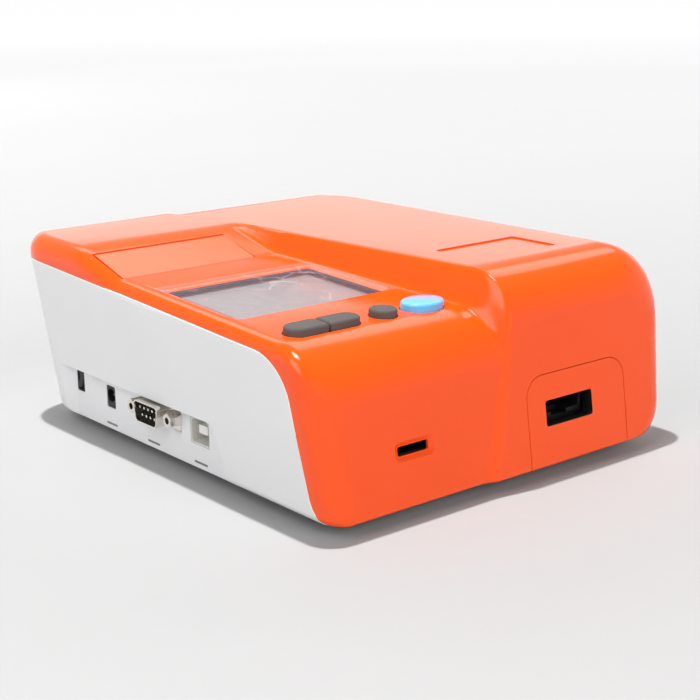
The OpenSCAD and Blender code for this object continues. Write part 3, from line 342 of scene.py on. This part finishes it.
def case_piece(name, verts, faces, mat):
    """A piece of the dressing that rides on the case."""
    mesh = bpy.data.meshes.new(name)
    mesh.from_pydata([tuple(v) for v in verts], [], faces)
    mesh.validate()
    mesh.update()
    obj = bpy.data.objects.new(name, mesh)
    bpy.context.scene.collection.objects.link(obj)
    mesh.materials.append(mat)
    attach(obj, "case")
    return obj


def rounded_ring(w, d, r, n=6):
    """Points round a rectangle with round corners, counter-clockwise, in mm."""
    points = []
    for cx, cy, start in ((1, 1, 0), (-1, 1, 90), (-1, -1, 180), (1, -1, 270)):
        for i in range(n + 1):
            a = math.radians(start + 90 * i / n)
            x, y = cx * (w / 2 - r) + r * math.cos(a), cy * (d / 2 - r) + r * math.sin(a)
            points.append((x, y))
    return points


def strip_rings(rings):
    """Faces that join equal closed rings in order, closing the last to the first."""
    n, k = len(rings[0]), len(rings)
    faces = []
    for j in range(k):
        for i in range(n):
            a, b = j * n, ((j + 1) % k) * n
            faces.append((a + i, a + (i + 1) % n, b + (i + 1) % n, b + i))
    return faces


# the line along the seam: a thin strip whose pale colour is a painted highlight of the lip
def shell_surface():
    """The two shells as one surface to cast rays at."""
    verts, polys = [], []
    for name in ("upper_shell", "lower_shell"):
        base = len(verts)
        mesh = NODES[name].data
        verts += [v.co.copy() for v in mesh.vertices]
        polys += [[base + i for i in p.vertices] for p in mesh.polygons]
    return BVHTree.FromPolygons(verts, polys)


def seam_height(y):
    return SEAM_H + math.tan(math.radians(SEAM_SLOPE)) * y


def seam_side():
    """The seam seen from the side, from its foot to the long straight run, as (y, z) in mm."""
    lean, slope = math.radians(SEAM_LEAN), math.radians(SEAM_SLOPE)
    foot_y, foot_z = SEAM_FRONT_Y - SEAM_FOOT_R, FOOT_H + SEAM_FOOT_R
    foot_steps, turn_steps = 6, 12
    points = []
    for i in range(3, foot_steps + 1):
        a = math.radians(-90 + 90 * i / foot_steps)
        points.append((foot_y + SEAM_FOOT_R * math.cos(a), foot_z + SEAM_FOOT_R * math.sin(a)))
    corner_z = seam_height(SEAM_FRONT_Y + (SEAM_H - foot_z) * math.tan(lean))
    corner_y = SEAM_FRONT_Y + (corner_z - foot_z) * math.tan(lean)
    half = math.radians(90 - SEAM_SLOPE + SEAM_LEAN)
    reach = SEAM_R / math.tan((math.pi - half) / 2)
    cy = corner_y + math.cos(slope) * reach + math.sin(slope) * SEAM_R
    cz = corner_z + math.sin(slope) * reach - math.cos(slope) * SEAM_R
    for i in range(turn_steps + 1):
        a = math.radians(180 - SEAM_LEAN + (SEAM_SLOPE - 90 + SEAM_LEAN) * i / turn_steps)
        points.append((cy + SEAM_R * math.cos(a), cz + SEAM_R * math.sin(a)))
    return points


def seam_path(shells):
    """Points on the case along the seam: up the left side, round the rear, down the right."""
    outside, far_out = 0.2, 0.3
    straight_steps, rear_steps = 12, 60
    side = seam_side()
    start = side[-1][0]
    for i in range(1, straight_steps + 1):
        y = start + (REAR_TURN_Y - start) * i / straight_steps
        side.append((y, seam_height(y)))

    path = []
    for y, z in side:
        path.append(shells.ray_cast(Vector((-outside, y * MM, z * MM)), Vector((1, 0, 0)))[0])
    centre = Vector((0, REAR_TURN_Y * MM, seam_height(REAR_TURN_Y) * MM))
    for i in range(1, rear_steps):
        a = math.radians(180 - 180 * i / rear_steps)
        far = centre + Vector((math.cos(a), math.sin(a), 0)) * far_out
        far.z = seam_height(far.y / MM) * MM
        path.append(shells.ray_cast(far, (centre - far).normalized())[0])
    for y, z in reversed(side):
        path.append(shells.ray_cast(Vector((outside, y * MM, z * MM)), Vector((-1, 0, 0)))[0])
    return [p for p in path if p]


def seam_lip_painted_highlight(shells):
    """A thin strip that lies on the case along the seam, paler than the shell as a painted
    highlight of the lip.
    """
    section = ((-1, 0.2), (-0.6, 1), (0.6, 1), (1, 0.2))  # shares of half the width and the lift
    middle = Vector((0, 0, 0.035))
    path = seam_path(shells)
    verts, faces = [], []
    for i, p in enumerate(path):
        along = (path[min(i + 1, len(path) - 1)] - path[max(i - 1, 0)]).normalized()
        normal = shells.find_nearest(p)[1]
        normal = (normal - along * normal.dot(along)).normalized()
        if normal.dot(p - middle) < 0:
            normal = -normal
        across = along.cross(normal)
        for side, up in section:
            verts.append(p + across * side * LIP_WIDTH / 2 * MM + normal * up * LIP_LIFT * MM)
    n = len(section)
    for i in range(len(path) - 1):
        for j in range(n - 1):
            a = i * n + j
            faces.append((a, a + 1, a + n + 1, a + n))
    smooth(case_piece("seam_lip_painted_highlight", verts, faces, SEAM_HIGHLIGHT_PAINT), 80)


# the display
def display_gasket():
    """The black frame that shows between the bevelled opening and the window."""
    w, d = DISPLAY_SIZE
    cx, cy = DISPLAY_AT
    rings = []
    for grow, r, z in GASKET_RINGS:
        ring = rounded_ring(w + 2 * grow, d + 2 * grow, r)
        rings.append([deck_point(cx + x, cy + y, z) for x, y in ring])
    verts = [p for ring in rings for p in ring]
    smooth(case_piece("display_gasket", verts, strip_rings(rings), BLACK), 30)


def wrinkle(x, y):
    """Height of the loose film over the display, in mm."""
    folds = 0
    for turn, pitch, high in FOLDS:
        t = math.radians(turn)
        u = (x * math.cos(t) + y * math.sin(t)) / pitch
        wobble = noise.noise(Vector((x / 22, y / 22, turn)))
        folds += high * abs(math.sin(math.pi * (u + 1.6 * wobble))) ** 6
    return folds + 0.25 * noise.noise(Vector((x / 15, y / 15, 3.1)))


def display_film():
    """The clear protective film, still on the display and lifting at its rim."""
    w, d = DISPLAY_SIZE[0] + FILM_OVERHANG[0], DISPLAY_SIZE[1] + FILM_OVERHANG[1]
    cx, cy = DISPLAY_AT
    nx, ny = FILM_CELLS
    verts, faces = [], []
    for j in range(ny + 1):
        for i in range(nx + 1):
            x, y = w * (i / nx - 0.5), d * (j / ny - 0.5)
            edge = min(w / 2 - abs(x), d / 2 - abs(y))
            sag = -FILM_SAG * min(1, max(0, edge - FILM_LOOSE_RIM) / FILM_SAG_RUN)
            fold = wrinkle(x, y) * (0.5 + 0.5 * min(1, edge / FILM_FOLD_RUN))
            verts.append(deck_point(cx + x, cy + y, FILM_LIFT + sag + fold))
    for j in range(ny):
        for i in range(nx):
            a = j * (nx + 1) + i
            faces.append((a, a + 1, a + nx + 2, a + nx + 1))
    smooth(case_piece("display_film", verts, faces, FILM), 60)


# plain marks under the ports
def port_mark(name, y, length):
    """A short plain printed bar on the floor of the port recess."""
    outline = rounded_ring(length, MARK_WIDTH, MARK_R, 4)
    verts = []
    for up, share in ((0.0, 1.0), (MARK_LIFT, 0.96)):
        for py, pz in outline:
            verts.append(Vector((RECESS_X - up, y + py * share, MARK_Z + pz * share)) * MM)
    n = len(outline)
    faces = [(i, (i + 1) % n, n + (i + 1) % n, n + i) for i in range(n)]
    faces.append(tuple(range(n, 2 * n)))
    case_piece(name, verts, faces, MARK)


seam_lip_painted_highlight(shell_surface())
display_gasket()
display_film()
for index, (y, length) in enumerate(PORT_MARKS):
    port_mark(f"port_mark_{index + 1}", y, length)


# floor, light and camera
def stage_floor():
    """A wide pale table top that glows a little far out, as one lit evenly all over would."""
    reach, glow_reach = 12.0, 3
    corners = [(x * reach, y * reach, 0) for x, y in ((-1, -1), (1, -1), (1, 1), (-1, 1))]
    mesh = bpy.data.meshes.new("floor")
    mesh.from_pydata(corners, [], [(0, 1, 2, 3)])
    obj = bpy.data.objects.new("floor", mesh)
    bpy.context.scene.collection.objects.link(obj)
    mat = plastic("floor_paper", (0.42, 0.42, 0.42), 0.8, vary=0.004)
    tree = mat.node_tree
    shader = tree.nodes["Principled BSDF"]
    away = tree.nodes.new("ShaderNodeVectorMath")
    away.operation = "LENGTH"
    tree.links.new(object_place(tree), away.inputs[0])
    far = tree.nodes.new("ShaderNodeValToRGB")
    stops = far.color_ramp.elements
    stops[0].position, stops[0].color = 0.06, (0, 0, 0, 1)
    stops[1].position, stops[1].color = 1.0, (0.83, 0.83, 0.83, 1)
    for at, glow in ((0.2, 0.23), (0.3, 0.36), (0.5, 0.55), (0.67, 0.73)):
        stops.new(at).color = (glow, glow, glow, 1)
    share = spread(tree, away.outputs["Value"], 0, 1, (0, glow_reach))
    tree.links.new(share, far.inputs["Fac"])
    tree.links.new(far.outputs["Color"], shader.inputs["Emission Color"])
    shader.inputs["Emission Strength"].default_value = 1.0
    mesh.materials.append(mat)


def studio_sky():
    """A white sky, bright near the horizon and dim overhead, that is seen as an even white."""
    seen_strength, horizon, overhead, overhead_from = 0.95, 0.85, 0.24, 0.6
    world = bpy.data.worlds.new("studio")
    world.use_nodes = True
    tree = world.node_tree
    sky = tree.nodes["Background"]
    sky.inputs["Color"].default_value = (1, 1, 1, 1)
    up = tree.nodes.new("ShaderNodeSeparateXYZ")
    tree.links.new(tree.nodes.new("ShaderNodeTexCoord").outputs["Generated"], up.inputs["Vector"])
    strength = tree.nodes.new("ShaderNodeMix")
    strength.inputs["B"].default_value = seen_strength
    seen = tree.nodes.new("ShaderNodeLightPath").outputs["Is Camera Ray"]
    graded = spread(tree, up.outputs["Z"], horizon, overhead, (0, overhead_from))
    tree.links.new(seen, strength.inputs["Factor"])
    tree.links.new(graded, strength.inputs["A"])
    tree.links.new(strength.outputs["Result"], sky.inputs["Strength"])
    bpy.context.scene.world = world


def softbox(name, at, target, size, power, lights=True, shines=True):
    """A soft rectangular light. One that only lights isn't mirrored, one that only shines is."""
    light = bpy.data.lights.new(name, "AREA")
    light.shape = "RECTANGLE"
    light.size, light.size_y = size
    light.energy = power
    obj = bpy.data.objects.new(name, light)
    obj.visible_camera = False
    obj.visible_diffuse = lights
    obj.visible_glossy = shines
    obj.location = at
    obj.rotation_euler = (Vector(target) - Vector(at)).to_track_quat("-Z", "Y").to_euler()
    bpy.context.scene.collection.objects.link(obj)


def camera():
    data = bpy.data.cameras.new("camera")
    data.lens, data.sensor_width = SENSOR_MM * FOCAL_PX / PHOTO_PX, SENSOR_MM
    data.clip_start, data.clip_end = 0.01, 20
    yaw, pitch, roll = (math.radians(a) for a in (YAW, PITCH, ROLL))
    level_out = math.cos(pitch)
    forward = Vector((math.sin(yaw) * level_out, math.cos(yaw) * level_out, -math.sin(pitch)))
    level = Vector((math.cos(yaw), -math.sin(yaw), 0))
    down = forward.cross(level)
    right = math.cos(roll) * level + math.sin(roll) * down
    up = math.sin(roll) * level - math.cos(roll) * down
    obj = bpy.data.objects.new("camera", data)
    turn = Matrix((right, up, -forward)).transposed()
    obj.matrix_world = Matrix.Translation(CAMERA_AT) @ turn.to_4x4()
    bpy.context.scene.collection.objects.link(obj)
    bpy.context.scene.camera = obj


stage_floor()
camera()
studio_sky()

# The one light that casts the crisp shadow, and the spark it leaves on the rounded edges
softbox("overhead", (-0.06, 0.12, 1.3), (0, 0, 0), (0.035, 0.035), 21.0, shines=False)
softbox("glint", (-0.05, -0.05, 1.2), (0, 0, 0), (0.3, 0.3), 7, lights=False)
# Panels that the raised top and the ramp mirror towards the camera
softbox("low_panel", (1.12, 1.4, 0.36), (0, 0, 0.06), (2.8, 0.3), 1.6, lights=False)
softbox("high_panel", (0.67, 0.84, 1.11), (-0.05, 0.03, 0.07), (1.7, 0.45), 5.0, lights=False)
# Soft light on the four sides
MID_CASE = (0, 0, 0.03)
softbox("key_left", (-1.1, -0.25, 1.05), MID_CASE, (0.9, 0.9), 7.7)
softbox("key_right", (1.3, 0.5, 0.8), MID_CASE, (0.9, 0.9), 2.6, shines=False)
softbox("front_fill", (-0.1, -1.6, 0.75), MID_CASE, (1.2, 0.8), 9.5, shines=False)
softbox("rear_fill", (0.1, 1.6, 0.75), MID_CASE, (1.2, 0.8), 5.5, shines=False)
bpy.context.scene.view_settings.view_transform = "Standard"
